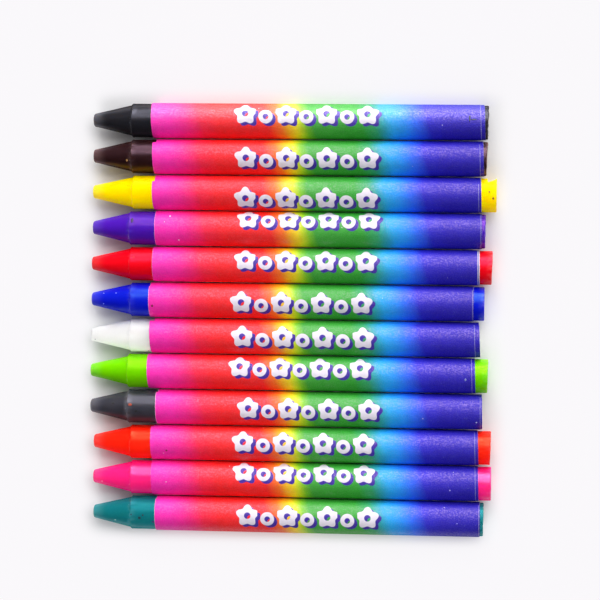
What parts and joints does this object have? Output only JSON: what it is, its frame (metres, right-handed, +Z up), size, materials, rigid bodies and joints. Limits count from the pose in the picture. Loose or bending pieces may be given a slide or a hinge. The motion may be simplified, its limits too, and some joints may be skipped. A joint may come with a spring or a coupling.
{
  "type": "wax crayon set",
  "caption": "Row of wax crayons for drawing: tapered wax sticks, each in its own wound paper sleeve that it can be pushed along, lying side by side.",
  "frame": {"origin": "on the table, under the middle of the row's bounding box", "axes": "+X along the crayons from the tips to the butts, +Y across the row from the teal crayon to the black one, +Z up from the table"},
  "size_m": [0.0932, 0.0987, 0.0081],
  "materials": {
    "black_wax": "satin",
    "brown_wax": "satin",
    "yellow_wax": "satin",
    "purple_wax": "satin",
    "red_wax": "satin",
    "blue_wax": "satin",
    "white_wax": "satin",
    "lime_wax": "satin",
    "grey_wax": "satin",
    "orange_wax": "satin",
    "pink_wax": "satin",
    "teal_wax": "satin",
    "label_paper": "satin"
  },
  "bodies": {
    "black_crayon": {"black_label": "label_paper"},
    "black_core": {"black_stick": "black_wax"},
    "brown_crayon": {"brown_label": "label_paper"},
    "brown_core": {"brown_stick": "brown_wax"},
    "yellow_crayon": {"yellow_label": "label_paper"},
    "yellow_core": {"yellow_stick": "yellow_wax"},
    "purple_crayon": {"purple_label": "label_paper"},
    "purple_core": {"purple_stick": "purple_wax"},
    "red_crayon": {"red_label": "label_paper"},
    "red_core": {"red_stick": "red_wax"},
    "blue_crayon": {"blue_label": "label_paper"},
    "blue_core": {"blue_stick": "blue_wax"},
    "white_crayon": {"white_label": "label_paper"},
    "white_core": {"white_stick": "white_wax"},
    "lime_crayon": {"lime_label": "label_paper"},
    "lime_core": {"lime_stick": "lime_wax"},
    "grey_crayon": {"grey_label": "label_paper"},
    "grey_core": {"grey_stick": "grey_wax"},
    "orange_crayon": {"orange_label": "label_paper"},
    "orange_core": {"orange_stick": "orange_wax"},
    "pink_crayon": {"pink_label": "label_paper"},
    "pink_core": {"pink_stick": "pink_wax"},
    "teal_crayon": {"teal_label": "label_paper"},
    "teal_core": {"teal_stick": "teal_wax"}
  },
  "joints": [
    {"name": "black_push", "type": "slide", "parent": "black_crayon", "child": "black_core", "axis": [-1, 0, 0], "range_m": [-0.004, 0.012]},
    {"name": "brown_lift", "type": "slide", "parent": "black_crayon", "child": "brown_crayon", "axis": [0, 0, 1], "range_m": [0, 0.02]},
    {"name": "brown_push", "type": "slide", "parent": "brown_crayon", "child": "brown_core", "axis": [-1, 0, 0], "range_m": [-0.004, 0.012]},
    {"name": "yellow_lift", "type": "slide", "parent": "black_crayon", "child": "yellow_crayon", "axis": [0, 0, 1], "range_m": [0, 0.02]},
    {"name": "yellow_push", "type": "slide", "parent": "yellow_crayon", "child": "yellow_core", "axis": [-1, 0, 0], "range_m": [-0.004, 0.012]},
    {"name": "purple_lift", "type": "slide", "parent": "black_crayon", "child": "purple_crayon", "axis": [0, 0, 1], "range_m": [0, 0.02]},
    {"name": "purple_push", "type": "slide", "parent": "purple_crayon", "child": "purple_core", "axis": [-1, 0, 0], "range_m": [-0.004, 0.012]},
    {"name": "red_lift", "type": "slide", "parent": "black_crayon", "child": "red_crayon", "axis": [0, 0, 1], "range_m": [0, 0.02]},
    {"name": "red_push", "type": "slide", "parent": "red_crayon", "child": "red_core", "axis": [-1, 0, 0], "range_m": [-0.004, 0.012]},
    {"name": "blue_lift", "type": "slide", "parent": "black_crayon", "child": "blue_crayon", "axis": [0, 0, 1], "range_m": [0, 0.02]},
    {"name": "blue_push", "type": "slide", "parent": "blue_crayon", "child": "blue_core", "axis": [-1, 0, 0], "range_m": [-0.004, 0.012]},
    {"name": "white_lift", "type": "slide", "parent": "black_crayon", "child": "white_crayon", "axis": [0, 0, 1], "range_m": [0, 0.02]},
    {"name": "white_push", "type": "slide", "parent": "white_crayon", "child": "white_core", "axis": [-1, 0, 0], "range_m": [-0.004, 0.012]},
    {"name": "lime_lift", "type": "slide", "parent": "black_crayon", "child": "lime_crayon", "axis": [0, 0, 1], "range_m": [0, 0.02]},
    {"name": "lime_push", "type": "slide", "parent": "lime_crayon", "child": "lime_core", "axis": [-1, 0, 0], "range_m": [-0.004, 0.012]},
    {"name": "grey_lift", "type": "slide", "parent": "black_crayon", "child": "grey_crayon", "axis": [0, 0, 1], "range_m": [0, 0.02]},
    {"name": "grey_push", "type": "slide", "parent": "grey_crayon", "child": "grey_core", "axis": [-1, 0, 0], "range_m": [-0.004, 0.012]},
    {"name": "orange_lift", "type": "slide", "parent": "black_crayon", "child": "orange_crayon", "axis": [0, 0, 1], "range_m": [0, 0.02]},
    {"name": "orange_push", "type": "slide", "parent": "orange_crayon", "child": "orange_core", "axis": [-1, 0, 0], "range_m": [-0.004, 0.012]},
    {"name": "pink_lift", "type": "slide", "parent": "black_crayon", "child": "pink_crayon", "axis": [0, 0, 1], "range_m": [0, 0.02]},
    {"name": "pink_push", "type": "slide", "parent": "pink_crayon", "child": "pink_core", "axis": [-1, 0, 0], "range_m": [-0.004, 0.012]},
    {"name": "teal_lift", "type": "slide", "parent": "black_crayon", "child": "teal_crayon", "axis": [0, 0, 1], "range_m": [0, 0.02]},
    {"name": "teal_push", "type": "slide", "parent": "teal_crayon", "child": "teal_core", "axis": [-1, 0, 0], "range_m": [-0.004, 0.012]}
  ]
}
